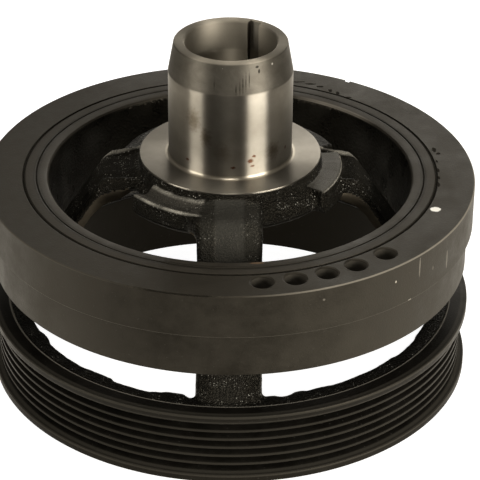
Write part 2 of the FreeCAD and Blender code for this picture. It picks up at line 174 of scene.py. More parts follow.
# Each step goes further across and then moves the upper and the lower line by a little
for across, upper_step, lower_step in (
        (5.6, (0, 0), (0, 0)), (9.2, (-0.5, -0.7), (0, 0)), (11.3, (-0.5, -0.8), (1.1, 3.4)),
        (12.1, (-1.0, -1.3), (0.6, 1.8))):
    bpy.ops.mesh.extrude_region_move(TRANSFORM_OT_translate={"value": (0, (across - reached) / 1000, 0)})
    reached = across
    pick(spoke, lambda x, y, z: y > across - 0.01 and is_upper(x, z))
    bpy.ops.transform.translate(value=(upper_step[0] / 1000, 0, upper_step[1] / 1000))
    pick(spoke, lambda x, y, z: y > across - 0.01 and x < 70 and not is_upper(x, z))
    bpy.ops.transform.translate(value=(lower_step[0] / 1000, 0, lower_step[1] / 1000))
    pick(spoke, lambda x, y, z: y > across - 0.01)
pick(spoke, lambda x, y, z: abs(y) < 0.01)
bpy.ops.mesh.delete(type="ONLY_FACE")
bpy.ops.object.mode_set(mode="OBJECT")
add_modifier(spoke, "MIRROR", use_axis=(False, True, False), merge_threshold=1e-5)
bpy.ops.object.mode_set(mode="EDIT")
close_skin()
spokes = [spoke]
for turn in (90, 180, 270):
    select_only(spoke)
    bpy.ops.object.duplicate()
    copy = bpy.context.object
    copy.rotation_euler.z = math.radians(turn)
    bpy.ops.object.transform_apply(rotation=True)
    spokes.append(copy)

# The left and right spokes are hollowed along their tops. A ridge is left along the rear edge, which
# falls away outwards, and the front edge dips where it meets the disc.
for side in (spokes[0], spokes[2]):
    select_only(side)
    for near, far, front, rear, rise in (
            (33, 52, -10, 10, -2.6), (33, 36, -13, -10, -3.6), (36, 39, -13, -10, -1.6),
            (33, 42, 10, 13, 0.6), (46, 52, 10, 13, -1.4)):
        pick(side, lambda x, y, z: z > 78.5 and near < abs(x) < far and front < y < rear)
        bpy.ops.transform.translate(value=(0, 0, rise / 1000))
    bpy.ops.object.mode_set(mode="OBJECT")

lip = turn_piece("lip", [(86.1, 24.0), (86.1, 28.55), (82.5, 28.4), (80.1, 28.1), (79.5, 27.6),
                         (79.5, 25.2), (80.2, 24.2), (83.2, 20.6), (84.4, 20.6)], 240)

# On the far side the mould left the lip flush with the wall
pick(lip, lambda x, y, z: math.hypot(x, y) < 81 and y > 12)
bpy.ops.transform.resize(value=(1.045, 1.045, 1), center_override=(0, 0, 0.026))

# The lip's inner edge is pulled in and out where the mould left it ragged
for start, end, reach in (
        (-154, -150, -0.8), (-148, -132, 0.6), (-128, -123, -0.3), (-122, -110, 0.9), (-107, -102, -1.3),
        (-101, -98, 0.5), (-82, -78, -0.8), (-77, -74, 0.5), (-73, -70, -1.1), (-69, -63, -0.7),
        (-40, -28, 0.6), (165, 175, 0.6)):
    pick(lip, lambda x, y, z: math.hypot(x, y) < 81 and start <= math.degrees(math.atan2(y, x)) <= end)
    middle = math.radians((start + end) / 2)
    bpy.ops.transform.translate(value=(reach / 1000 * math.cos(middle), reach / 1000 * math.sin(middle), 0))
bpy.ops.object.mode_set(mode="OBJECT")

casting = join_pieces("rough_casting", [disc] + lobes + spokes + [lip])
add_modifier(casting, "REMESH", mode="VOXEL", voxel_size=0.00073)
add_modifier(casting, "SMOOTH", factor=0.5, iterations=2)

# Sand-mould lumps and grain stay off the seat that is milled flat on the disc
casting.vertex_groups.clear()
rough = casting.vertex_groups.new(name="rough")


def place_about_axis(corner):
    """Radius and height in millimetres, and angle in degrees, of a point in metres."""
    x, y, z = corner
    return math.hypot(x, y) * 1000, z * 1000, math.degrees(math.atan2(y, x))


def is_milled(radius, height, angle):
    """The flat seat milled on the disc's right lobe."""
    return height > 83.2 and 34.5 < radius < 42.4 and -35 < angle < 11


rough.add([v.index for v in casting.data.vertices if not is_milled(*place_about_axis(v.co))], 1.0, "ADD")
for name, size, strength in (("mould_lumps", 0.007, 0.0004), ("sand_grain", 0.0016, 0.0002)):
    texture = bpy.data.textures.new(name, "CLOUDS")
    texture.noise_scale = size
    texture.noise_depth = 2
    add_modifier(casting, "DISPLACE", texture=texture, strength=strength, mid_level=0.5,
                 vertex_group="rough", texture_coords="LOCAL")
casting.vertex_groups.clear()
bpy.ops.object.shade_smooth()


def add_node(tree, kind, place=None, **values):
    """Adds a shader node; capitalised values go to its sockets, the others to its settings."""
    made = tree.nodes.new("ShaderNode" + kind)
    for key, value in values.items():
        if key[0].isupper():
            made.inputs[key.replace("_", " ")].default_value = value
        else:
            setattr(made, key, value)
    if place is not None:
        tree.links.new(place, made.inputs["Vector"])
    return made


def new_group(name, inputs, outputs):
    """A shader node group with named sockets, and its two end nodes."""
    group = bpy.data.node_groups.new(name, "ShaderNodeTree")
    for label, kind in inputs:
        group.interface.new_socket(label, in_out="INPUT", socket_type="NodeSocket" + kind)
    for label, kind in outputs:
        group.interface.new_socket(label, in_out="OUTPUT", socket_type="NodeSocket" + kind)
    return group, group.nodes.new("NodeGroupInput"), group.nodes.new("NodeGroupOutput")


def place_group(tree, group, place, **values):
    """Puts a node group into a material, fed with the piece's own coordinates."""
    made = tree.nodes.new("ShaderNodeGroup")
    made.node_tree = group
    tree.links.new(place, made.inputs["Place"])
    for key, value in values.items():
        made.inputs[key.replace("_", " ")].default_value = value
    return made


def new_material(name, base, roughness, metallic=0.0, specular=0.5, tint=(1, 1, 1)):
    """A material with its shader, its Object coordinates and their output socket."""
    material = bpy.data.materials.new(name)
    material.use_nodes = True
    tree = material.node_tree
    shader = tree.nodes["Principled BSDF"]
    shader.inputs["Base Color"].default_value = (*base, 1)
    shader.inputs["Roughness"].default_value = roughness
    shader.inputs["Metallic"].default_value = metallic
    shader.inputs["Specular IOR Level"].default_value = specular
    shader.inputs["Specular Tint"].default_value = (*tint, 1)
    place = tree.nodes.new("ShaderNodeTexCoord").outputs["Object"]
    return material, tree, shader, place


def mix_colours(tree, factor, first, second):
    """A colour that goes from the first to the second as the factor rises; either may be a socket."""
    mix = tree.nodes.new("ShaderNodeMix")
    mix.data_type = "RGBA"
    tree.links.new(factor, mix.inputs["Factor"])
    for socket, value in ((mix.inputs["A"], first), (mix.inputs["B"], second)):
        if isinstance(value, tuple):
            socket.default_value = (*value, 1)
        else:
            tree.links.new(value, socket)
    return mix.outputs["Result"]


def map_range(tree, value, low, high, to_low=0.0, to_high=1.0):
    """Spreads a value from one range to another, clamped."""
    made = add_node(tree, "MapRange", From_Min=low, From_Max=high, To_Min=to_low, To_Max=to_high)
    tree.links.new(value, made.inputs["Value"])
    return made.outputs["Result"]


def calculate(tree, operation, first, second=None):
    """One sum on sockets or numbers."""
    made = tree.nodes.new("ShaderNodeMath")
    made.operation = operation
    for socket, value in zip(made.inputs, (first, second)):
        if isinstance(value, (int, float)):
            socket.default_value = value
        elif value is not None:
            tree.links.new(value, socket)
    return made.outputs["Value"]


def multiply(tree, first, second):
    """One mask or height times another."""
    return calculate(tree, "MULTIPLY", first, second)


def between(tree, value, low, high, blend):
    """One between two values, and nought outside them."""
    return multiply(tree, map_range(tree, value, low - blend, low),
                    map_range(tree, value, high, high + blend, 1.0, 0.0))


def distance_from_axis(tree, parts):
    """Distance of a point from the shaft's axis, from the parts of its position."""
    squares = [multiply(tree, parts.outputs[k], parts.outputs[k]) for k in "XY"]
    return calculate(tree, "SQRT", calculate(tree, "ADD", *squares))


def angle_about_axis(tree, parts):
    """Angle of a point about the shaft's axis, in radians from the X axis."""
    return calculate(tree, "ARCTAN2", parts.outputs["Y"], parts.outputs["X"])


def add_bump(tree, shader, height, distance):
    """Feeds a height into the shader's normal."""
    bump = add_node(tree, "Bump", Distance=distance)
    tree.links.new(height, bump.inputs["Height"])
    tree.links.new(bump.outputs["Normal"], shader.inputs["Normal"])


# Cast skin: sand grain and pinholes under the paint, and pale dots that are painted glints on the grain's
# tips
cast_skin, inlet, outlet = new_group(
    "Cast skin", [("Place", "Vector"), ("Grain", "Float")],
    [("Height", "Float"), ("Gloss", "Float"), ("Sparkle", "Float")])
grain = add_node(cast_skin, "TexNoise", Detail=4.0, Roughness=0.65)
pits = add_node(cast_skin, "TexVoronoi", feature="SMOOTH_F1", Smoothness=0.3)
broad = add_node(cast_skin, "TexNoise", Scale=140.0, Detail=2.0)
tips = add_node(cast_skin, "TexVoronoi", Scale=1350.0)
drifts = add_node(cast_skin, "TexNoise", Scale=210.0, Detail=2.0)
for made in (grain, pits, broad, tips, drifts):
    cast_skin.links.new(inlet.outputs["Place"], made.inputs["Vector"])
cast_skin.links.new(inlet.outputs["Grain"], grain.inputs["Scale"])
cast_skin.links.new(multiply(cast_skin, inlet.outputs["Grain"], 1.4), pits.inputs["Scale"])
height = calculate(cast_skin, "ADD", grain.outputs["Fac"], multiply(cast_skin, pits.outputs["Distance"], 1.2))
cast_skin.links.new(height, outlet.inputs["Height"])
cast_skin.links.new(broad.outputs["Fac"], outlet.inputs["Gloss"])
# Painted glints: pale dots where light would catch the tips of the grain
glint_dot = map_range(cast_skin, tips.outputs["Distance"], 0.12, 0.34, 1.0, 0.0)
lot = add_node(cast_skin, "SeparateXYZ", tips.outputs["Color"])
one_in_few = map_range(cast_skin, lot.outputs["X"], 0.35, 0.9)
drifted = map_range(cast_skin, drifts.outputs["Fac"], 0.46, 0.62)
painted_glints = multiply(cast_skin, glint_dot, multiply(cast_skin, one_in_few, drifted))
cast_skin.links.new(painted_glints, outlet.inputs["Sparkle"])

# Black paint over the rough skin
WARM_GLOSS = (1.0, 0.9, 0.7)
PAINT = (0.003, 0.0028, 0.0023)
black_casting, tree, shader, place = new_material("black_casting", PAINT, 0.3, specular=0.1, tint=WARM_GLOSS)
skin = place_group(tree, cast_skin, place, Grain=1100.0)
parts = add_node(tree, "SeparateXYZ", place)
from_axis = distance_from_axis(tree, parts)
around = angle_about_axis(tree, parts)
off_middle = calculate(tree, "ABSOLUTE", parts.outputs["X"])

# The front spoke is smoother along its middle and greyer there, a painted sheen that fades out towards its
# dark foot
in_front = multiply(tree, map_range(tree, parts.outputs["Y"], -0.0352, -0.0360),
                    map_range(tree, parts.outputs["Z"], 0.040, 0.062, 0.12, 1.0))
middle = multiply(tree, in_front, map_range(tree, off_middle, 0.0050, 0.0060, 1.0, 0.0))
shoulder = multiply(tree, in_front, map_range(tree, off_middle, 0.0100, 0.0116, 1.0, 0.0))
grey = mix_colours(tree, shoulder, PAINT, (0.014, 0.0135, 0.0115))
grey = mix_colours(tree, middle, grey, (0.022, 0.0215, 0.019))

# The left lobe's trough is a lighter grey, a painted sheen
on_left = between(tree, around, math.radians(-143), math.radians(-106), 0.03)
trough = multiply(tree, on_left, between(tree, from_axis, 0.0370, 0.0436, 0.0006))
trough = multiply(tree, trough, map_range(tree, parts.outputs["Z"], 0.0805, 0.0815))
grey = mix_colours(tree, trough, grey, (0.03, 0.028, 0.024))

# Pale lines along the corners of the lobes and on the sloping ridges of the side spokes are painted
# highlights on rounded edges
on_right = between(tree, around, math.radians(-34), math.radians(11), 0.03)
on_ridge = between(tree, off_middle, 0.0355, 0.0500, 0.002)
ridge_height = map_range(tree, off_middle, 0.036, 0.050, 0.0848, 0.0797)
painted_edge_glint = 0.0
for where, across, at_across, at_height, reach, amount in (
        (on_left, from_axis, 0.0446, 0.0834, 0.0009, 1.0),
        (on_left, from_axis, 0.0364, 0.0848, 0.0014, 0.7),
        (on_right, from_axis, 0.0426, 0.0834, 0.0006, 0.8),
        (on_ridge, parts.outputs["Y"], 0.0107, ridge_height, 0.0016, 1.0)):
    sideways = calculate(tree, "SUBTRACT", across, at_across)
    upward = calculate(tree, "SUBTRACT", parts.outputs["Z"], at_height)
    away = calculate(tree, "SQRT", calculate(
        tree, "ADD", multiply(tree, sideways, sideways), multiply(tree, upward, upward)))
    line = multiply(tree, where, map_range(tree, away, 0.3 * reach, reach, amount, 0.0))
    painted_edge_glint = calculate(tree, "MAXIMUM", painted_edge_glint, line)
patchy = map_range(tree, skin.outputs["Gloss"], 0.35, 0.65, 0.35, 1.0)
grey = mix_colours(tree, multiply(tree, painted_edge_glint, patchy), grey, (0.24, 0.228, 0.198))
# Painted glints: the skin's dots are laid into the colour as pale specks, fewer along the front spoke's
# middle
sparkle = multiply(tree, skin.outputs["Sparkle"], map_range(tree, middle, 0.0, 1.0, 0.9, 0.12))
tree.links.new(mix_colours(tree, sparkle, grey, (0.36, 0.35, 0.31)), shader.inputs["Base Color"])

# The skin is smoother along the front spoke's middle and on the rear lobe
at_rear = between(tree, around, math.radians(25), math.radians(163), 0.05)
unevenness = map_range(tree, calculate(tree, "MAXIMUM", middle, at_rear), 0.0, 1.0, 1.0, 0.4)
add_bump(tree, shader, multiply(tree, skin.outputs["Height"], unevenness), 0.00042)

# It is dull in the hollows, most of all on top of the left and right spokes
near_middle = map_range(
    tree, calculate(tree, "ABSOLUTE", parts.outputs["Y"]), 0.0100, 0.0110, 0.95, 0.0)
on_side_spoke = multiply(tree, near_middle, map_range(tree, off_middle, 0.034, 0.036))
gloss = map_range(tree, skin.outputs["Gloss"], 0.35, 0.65, 0.24, 0.5)
tree.links.new(calculate(tree, "MAXIMUM", gloss, on_side_spoke), shader.inputs["Roughness"])

# Undersides: smoother skin, dull under the disc, and brownish under the spokes, a painted reflection of the
# lit floor below
dull_underside, tree, shader, place = new_material(
    "dull_underside", (0.004, 0.0037, 0.003), 0.6, specular=0.02, tint=WARM_GLOSS)
skin = place_group(tree, cast_skin, place, Grain=700.0)
add_bump(tree, shader, skin.outputs["Height"], 0.0002)
underside_painted_floor_light, tree, shader, place = new_material(
    "underside_painted_floor_light", (0.08, 0.066, 0.048), 0.5, specular=0.0, tint=WARM_GLOSS)
skin = place_group(tree, cast_skin, place, Grain=500.0)
tree.links.new(mix_colours(tree, map_range(tree, skin.outputs["Gloss"], 0.35, 0.65),
                           (0.062, 0.052, 0.038), (0.095, 0.081, 0.060)), shader.inputs["Base Color"])
add_bump(tree, shader, skin.outputs["Height"], 0.00008)

# Milled seat: the paint is thin and grey there, with marks running out from the middle
milled_seat, tree, shader, place = new_material(
    "milled_seat", (0.03, 0.028, 0.025), 0.42, specular=0.3, tint=WARM_GLOSS)
around = angle_about_axis(tree, add_node(tree, "SeparateXYZ", place))
strokes = add_node(tree, "TexNoise", noise_dimensions="1D", Scale=1.0, Detail=3.0)
tree.links.new(multiply(tree, around, 160.0), strokes.inputs["W"])
tree.links.new(mix_colours(tree, strokes.outputs["Fac"], (0.012, 0.0112, 0.0095), (0.042, 0.040, 0.035)),
               shader.inputs["Base Color"])
add_bump(tree, shader, strokes.outputs["Fac"], 0.0002)

finishes = [black_casting, milled_seat, dull_underside, underside_painted_floor_light]
for finish in finishes:
    casting.data.materials.append(finish)
for face in casting.data.polygons:
    radius, height, angle = place_about_axis(face.center)
    finish = black_casting
    if face.normal.z > 0.85 and is_milled(radius, height, angle):
        finish = milled_seat
    elif face.normal.z < -0.15 and height > 30:
        along_side = abs(face.center.y) < 0.012 and abs(face.center.x) > 0.038
        finish = underside_painted_floor_light if radius > 46 or along_side else dull_underside
    face.material_index = finishes.index(finish)
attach(casting, "root")
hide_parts("hub_casting")

# Snout and face: the same iron casting where it is turned bright on a lathe
# The snout runs in the oil seal, its end is tapered, its bore is keyed, and the face round its root
# is turned flat. The metal is bare, with turning marks, handling marks and a few rust spots.

BORE = 17.4
SNOUT = 23.5
SEAT_HEIGHT = 75.5
FACE_HEIGHT = 88.0
END_HEIGHT = 134.1
snout = turn_piece("snout_and_face", [
    (BORE, SEAT_HEIGHT), (24.2, SEAT_HEIGHT), (24.2, 86.9), (33.7, 86.9), (34.5, 87.2), (34.6, 87.7),
    (34.4, FACE_HEIGHT), (24.6, FACE_HEIGHT), (24.0, 88.1), (23.6, 88.45), (SNOUT, 89.0), (SNOUT, 100.0),
    (SNOUT, 111.0), (SNOUT, 122.4), (23.42, 122.8), (21.45, 133.7), (21.1, END_HEIGHT),
    (17.9, END_HEIGHT), (BORE, 133.6), (BORE, 110.0)], 192)


def cut_away(piece, cutter):
    """Cuts one piece with another, which is then thrown away."""
    add_modifier(piece, "BOOLEAN", operation="DIFFERENCE", solver="EXACT", object=cutter)
    bpy.data.objects.remove(cutter)


def cut_slot(piece, sizes, reach, height, angle):
    """Cuts with a block turned about the axis, its middle at a reach and height, all in millimetres."""
    turn = math.radians(angle)
    middle = (reach * math.cos(turn) / 1000, reach * math.sin(turn) / 1000, height / 1000)
    bpy.ops.object.select_all(action="DESELECT")
    bpy.ops.mesh.primitive_cube_add(size=0.001, scale=sizes, rotation=(0, 0, turn), location=middle)
    block = bpy.context.object
    bpy.ops.object.transform_apply(location=True, rotation=True, scale=True)
    cut_away(piece, block)


# The keyway is broached right down the bore
cut_slot(snout, (19.8, 4.76, 70), 9.9, 105, 61)
add_modifier(snout, "BEVEL", width=0.00015, segments=2, limit_method="ANGLE", angle_limit=math.radians(40))
bpy.ops.object.shade_smooth_by_angle(angle=math.radians(30))

# Turning marks: fine rings that run round the axis, on upright and on level faces alike
turning_marks, inlet, outlet = new_group(
    "Turning marks", [("Place", "Vector"), ("Fineness", "Float")], [("Height", "Float"), ("Tone", "Float")])
parts = add_node(turning_marks, "SeparateXYZ", inlet.outputs["Place"])
along = calculate(turning_marks, "SUBTRACT", parts.outputs["Z"], distance_from_axis(turning_marks, parts))
fine = add_node(turning_marks, "TexNoise", noise_dimensions="1D", Scale=1.0, Detail=2.0)
turning_marks.links.new(multiply(turning_marks, along, inlet.outputs["Fineness"]), fine.inputs["W"])
bands = add_node(turning_marks, "TexNoise", noise_dimensions="1D", Scale=350.0, Detail=2.0)
turning_marks.links.new(along, bands.inputs["W"])
turning_marks.links.new(fine.outputs["Fac"], outlet.inputs["Height"])
turning_marks.links.new(bands.outputs["Fac"], outlet.inputs["Tone"])

# A ragged spot of a stated centre and reach, for marks that sit in one place
spot_mark, inlet, outlet = new_group(
    "Spot mark",
    [("Place", "Vector"), ("Centre", "Vector"), ("Reach", "Vector"),
     ("Ragged", "Float"), ("Softness", "Float")],
    [("Mask", "Float")])
offset = add_node(spot_mark, "VectorMath", operation="SUBTRACT")
spot_mark.links.new(inlet.outputs["Place"], offset.inputs[0])
spot_mark.links.new(inlet.outputs["Centre"], offset.inputs[1])
scaled = add_node(spot_mark, "VectorMath", operation="DIVIDE")
spot_mark.links.new(offset.outputs["Vector"], scaled.inputs[0])
spot_mark.links.new(inlet.outputs["Reach"], scaled.inputs[1])
reach = add_node(spot_mark, "VectorMath", operation="LENGTH")
spot_mark.links.new(scaled.outputs["Vector"], reach.inputs[0])
tatter = add_node(spot_mark, "TexNoise", Scale=900.0, Detail=3.0)
spot_mark.links.new(inlet.outputs["Place"], tatter.inputs["Vector"])
torn = calculate(spot_mark, "SUBTRACT", tatter.outputs["Fac"], 0.5)
torn = multiply(spot_mark, torn, inlet.outputs["Ragged"])
tattered = calculate(spot_mark, "ADD", reach.outputs["Value"], torn)
inside = calculate(spot_mark, "SUBTRACT", 0.92, tattered)
inside = calculate(spot_mark, "DIVIDE", inside, inlet.outputs["Softness"])
spot_mark.links.new(map_range(spot_mark, inside, -1.0, 1.0), outlet.inputs["Mask"])


def spot_mask(tree, place, spots, ragged, softness=0.13):
    """One over a list of spots, each a centre and a reach in millimetres, and nought elsewhere."""
    mask = 0.0
    for centre, reach in spots:
        spot = place_group(tree, spot_mark, place, Centre=[c / 1000 for c in centre],
                           Reach=[r / 1000 for r in reach], Ragged=ragged, Softness=softness)
        mask = calculate(tree, "MAXIMUM", mask, spot.outputs["Mask"])
    return mask


def add_spots(tree, place, colour, spots, ragged, under, softness=0.13):
    """Lays spots of one colour over what lies under them."""
    return mix_colours(tree, spot_mask(tree, place, spots, ragged, softness), under, colour)


# Bare turned iron, whose gloss is drawn out across the turning marks
turned_iron, tree, shader, place = new_material("turned_iron", (0.42, 0.38, 0.34), 0.3, metallic=1.0)
shader.inputs["Anisotropic"].default_value = 0.95
shader.inputs["Anisotropic Rotation"].default_value = 0.25
round_axis = add_node(tree, "Tangent", direction_type="RADIAL", axis="Z")
tree.links.new(round_axis.outputs["Tangent"], shader.inputs["Tangent"])
marks = place_group(tree, turning_marks, place, Fineness=4000.0)
handled = add_node(tree, "TexNoise", place, Scale=90.0, Detail=5.0, Roughness=0.6)
metal = mix_colours(tree, map_range(tree, handled.outputs["Fac"], 0.35, 0.7),
                    (0.222, 0.206, 0.176), (0.165, 0.150, 0.124))

# Soft brown stains and small rust spots on the snout
metal = add_spots(tree, place, (0.10, 0.084, 0.062), [
    ((-13.8, -19.0, 110.5), (2.4, 2.4, 3.8)), ((-9.0, -21.7, 104.5), (1.8, 1.6, 3.6)),
    ((16.0, -17.2, 97.0), (2.8, 2.8, 3.0))], 1.6, metal, 0.6)
metal = add_spots(tree, place, (0.16, 0.14, 0.112), [
    ((-3.0, -23.3, 99.0), (2.4, 2.4, 3.2))], 1.6, metal, 0.6)
metal = add_spots(tree, place, (0.075, 0.035, 0.02), [
    ((-15.9, -17.3, 93.3), (0.9, 0.8, 0.5)), ((1.1, -23.5, 92.9), (0.9, 0.8, 0.5)),
    ((7.4, -22.3, 95.2), (1.3, 0.9, 0.9)), ((8.4, -22.0, 93.0), (0.9, 0.8, 0.5)),
    ((8.8, -21.8, 97.0), (0.8, 0.7, 0.5)), ((20.6, -11.3, 95.5), (0.6, 0.6, 0.8))], 1.6, metal, 0.35)

# The taper is darker in smeared patches. The bore, the end and the snout's root are paler, a painted
# highlight.
parts = add_node(tree, "SeparateXYZ", place)
from_axis = distance_from_axis(tree, parts)
on_taper = map_range(tree, parts.outputs["Z"], 0.1222, 0.1230)
in_bore = map_range(tree, from_axis, 0.0178, 0.0181, 1.0, 0.0)
on_end = map_range(tree, parts.outputs["Z"], 0.1338, 0.1340)
at_root = multiply(tree, map_range(tree, parts.outputs["Z"], 0.0888, 0.0894, 1.0, 0.0),
                   map_range(tree, from_axis, 0.0242, 0.0250, 1.0, 0.0))
smeared = add_node(tree, "TexNoise", place, Scale=130.0, Detail=5.0, Roughness=0.7, Distortion=1.5)
darker_taper = multiply(tree, on_taper, map_range(tree, smeared.outputs["Fac"], 0.35, 0.65, 0.0, 0.4))
metal = mix_colours(tree, darker_taper, metal, (0.10, 0.09, 0.072))
paler = calculate(tree, "MAXIMUM", multiply(tree, in_bore, 0.6), multiply(tree, on_end, 0.5))
paler = calculate(tree, "MAXIMUM", at_root, paler)
metal = mix_colours(tree, paler, metal, (0.41, 0.375, 0.31))

# Scratches up the taper, two dark nicks and two bright specks near its end
metal = add_spots(tree, place, (0.06, 0.054, 0.044), [
    ((2.0, -23.2, 124.8), (0.3, 0.8, 2.0)), ((3.4, -22.9, 126.0), (0.2, 0.8, 3.6)),
    ((4.5, -22.5, 127.2), (0.25, 0.8, 4.2)), ((5.6, -22.0, 128.0), (0.2, 0.8, 4.4)),
    ((6.8, -21.5, 128.8), (0.2, 0.8, 3.6)), ((-6.0, -22.4, 127.5), (0.2, 0.8, 3.0))], 1.0, metal, 0.5)
metal = add_spots(tree, place, (0.03, 0.027, 0.022), [
    ((9.5, -19.2, 132.4), (0.7, 0.7, 0.5)), ((10.4, -19.6, 130.8), (0.4, 0.7, 0.9))], 0.8, metal, 0.3)
metal = add_spots(tree, place, (0.75, 0.72, 0.66), [
    ((15.3, -15.8, 132.0), (0.35, 0.5, 0.5)), ((-3.0, -21.9, 132.6), (0.3, 0.5, 0.3))], 0.8, metal, 0.3)
tree.links.new(metal, shader.inputs["Base Color"])

# The taper and the bore are rougher, and the level face is a little smoother
rougher = calculate(tree, "ADD", multiply(tree, on_taper, 0.36), multiply(tree, in_bore, 0.12))
rougher = calculate(tree, "ADD", rougher, map_range(tree, parts.outputs["Z"], 0.0883, 0.0892, -0.02, 0.0))
along_marks = map_range(tree, marks.outputs["Tone"], 0.3, 0.7, 0.34, 0.37)
tree.links.new(calculate(tree, "ADD", along_marks, rougher), shader.inputs["Roughness"])
add_bump(tree, shader, marks.outputs["Height"], 0.000006)
snout.data.materials.append(turned_iron)
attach(snout, "root")
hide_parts("hub_casting")

# Rim: the casting's upright band that the spokes pass under
# Its outside holds the rubber ring. Its top edge is turned, its inside is as cast and painted.

RING_FOOT = 45.6
RING_TOP = 79.6
BOND = 73.95
leaning_wall = [(68.5 - 0.3 * row, 70.5 - 3 * row) for row in range(8)]
rim = turn_piece("rim", [
    (BOND, RING_FOOT), (BOND, 79.4), (73.75, RING_TOP), (71.0, RING_TOP), (70.1, 79.35), (69.5, 78.7),
    (69.2, 77.6), (69.0, 75.5), (68.8, 73.5)] + leaning_wall + [
    (66.5, 48.1), (67.4, 46.4), (68.8, RING_FOOT)], 320)

# The inner wall is as cast, with the same mould lumps as the rough casting
inner_wall = rim.vertex_groups.new(name="inner_wall")
inner_wall.add([v.index for v in rim.data.vertices
                if math.hypot(v.co.x, v.co.y) < 0.0691 and v.co.z < 0.077], 1.0, "ADD")
add_modifier(rim, "DISPLACE", texture=bpy.data.textures["mould_lumps"], strength=0.0004, mid_level=0.5,
             vertex_group="inner_wall", texture_coords="LOCAL")
rim.vertex_groups.clear()
bpy.ops.object.shade_smooth_by_angle(angle=math.radians(30))


def paint_turned(name, base, roughness, specular=0.24):
    """Thin satin black paint over a turned face, with turning marks and pale specks of dust."""
    material, tree, shader, place = new_material(name, base, roughness, specular=specular, tint=WARM_GLOSS)
    marks = place_group(tree, turning_marks, place, Fineness=2600.0)
    cloud = add_node(tree, "TexNoise", place, Scale=70.0, Detail=8.0, Roughness=0.75)
    paler = tuple(2.1 * c + 0.002 for c in base)
    colour = mix_colours(tree, map_range(tree, cloud.outputs["Fac"], 0.4, 0.75, 0.0, 0.8), base, paler)
    specks = add_node(tree, "TexVoronoi", place, Scale=420.0, Randomness=1.0)
    dust = map_range(tree, specks.outputs["Distance"], 0.05, 0.11, 0.35, 0.0)
    colour = mix_colours(tree, dust, colour, (0.06, 0.055, 0.048))
    grain = add_node(tree, "TexNoise", place, Scale=1500.0, Detail=3.0)
    height = calculate(tree, "ADD", multiply(tree, marks.outputs["Height"], 0.5), grain.outputs["Fac"])
    add_bump(tree, shader, height, 0.00005)
    tree.links.new(map_range(tree, cloud.outputs["Fac"], 0.3, 0.7, roughness - 0.10, roughness + 0.13),
                   shader.inputs["Roughness"])
    tree.links.new(colour, shader.inputs["Base Color"])
    return material, tree, shader, place, colour


def add_dirt_and_shade(tree, shader, place, mask, colour, sunk=None):
    """Dull black dirt and painted shade where the mask is 1. It is dark, rough and full of pits, or sunk by a
    stated share.
    """
    roughness = shader.inputs["Roughness"].links[0].from_socket
    tree.links.new(calculate(tree, "MAXIMUM", roughness, mask), shader.inputs["Roughness"])
    bump_height = shader.inputs["Normal"].links[0].from_node.inputs["Height"]
    if sunk is None:
        crumbs = add_node(tree, "TexNoise", place, Scale=2600.0, Detail=1.0)
        sunk = multiply(tree, crumbs.outputs["Fac"], 20.0)
    lowered = calculate(tree, "SUBTRACT", bump_height.links[0].from_socket, multiply(tree, mask, sunk))
    tree.links.new(lowered, bump_height)
    return mix_colours(tree, mask, colour, (0.0015, 0.0013, 0.0011))


# The rim's top is darker towards the rubber, painted shade at the joint, with a brown mark in front and a
# pale sliver at the back that is a painted highlight on the rounded inner edge
PAINTED_JOINT_SHADE = (0.002, 0.0018, 0.0015)
satin_rim, tree, shader, place, colour = paint_turned("satin_rim", (0.012, 0.0105, 0.0085), 0.5)
parts = add_node(tree, "SeparateXYZ", place)
from_axis = distance_from_axis(tree, parts)
colour = add_spots(tree, place, (0.10, 0.062, 0.036), [((9.6, -70.2, 79.5), (2.8, 0.9, 1))], 1.3, colour)
colour = mix_colours(tree, map_range(tree, from_axis, 0.0725, 0.0731, 0.0, 0.75), colour, PAINTED_JOINT_SHADE)
around = angle_about_axis(tree, parts)
at_back = multiply(tree, map_range(tree, around, 0.60, 0.75), map_range(tree, around, 1.0, 1.2, 1.0, 0.0))
sliver = multiply(tree, at_back, map_range(tree, from_axis, 0.0704, 0.0710, 0.9, 0.0))
colour = mix_colours(tree, sliver, colour, (0.11, 0.10, 0.085))
tree.links.new(colour, shader.inputs["Base Color"])

# The inner wall is glossy black, with soft pale patches to the left and right of the snout, painted
# highlights
shaded_wall, tree, shader, place = new_material(
    "shaded_wall", (0.004, 0.0037, 0.003), 0.3, specular=0.1, tint=WARM_GLOSS)
skin = place_group(tree, cast_skin, place, Grain=700.0)
wall = mix_colours(tree, map_range(tree, skin.outputs["Gloss"], 0.35, 0.65),
                   (0.0025, 0.0023, 0.0018), (0.005, 0.0047, 0.0038))
wall = add_spots(tree, place, (0.022, 0.0215, 0.019), [
    ((-55.1, 40.4, 70.5), (5.5, 6, 4)), ((-64.0, 23.0, 70.0), (3, 5.5, 4.5)),
    ((-64.7, 19.2, 62.5), (2.5, 3.5, 6)), ((53.1, 43.1, 69.0), (5.5, 6, 4)),
    ((60.9, 30.3, 67.5), (3.5, 5, 4.5)), ((62.9, 24.5, 58.0), (2.5, 3, 7))], 1.4, wall, 0.7)
tree.links.new(wall, shader.inputs["Base Color"])
tree.links.new(map_range(tree, skin.outputs["Gloss"], 0.35, 0.65, 0.25, 0.45), shader.inputs["Roughness"])
add_bump(tree, shader, skin.outputs["Height"], 0.00012)
finishes = [shaded_wall, satin_rim]
for finish in finishes:
    rim.data.materials.append(finish)
for face in rim.data.polygons:
    is_top = face.normal.z > 0.5 or face.center.z > 0.0789
    face.material_index = finishes.index(satin_rim if is_top else shaded_wall)
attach(rim, "root")
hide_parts("hub_casting")

# Rubber ring: the black elastomer pressed between the rim and the inertia ring
# Its top is level with the metal, rounded over at both edges, and painted together with the rings.

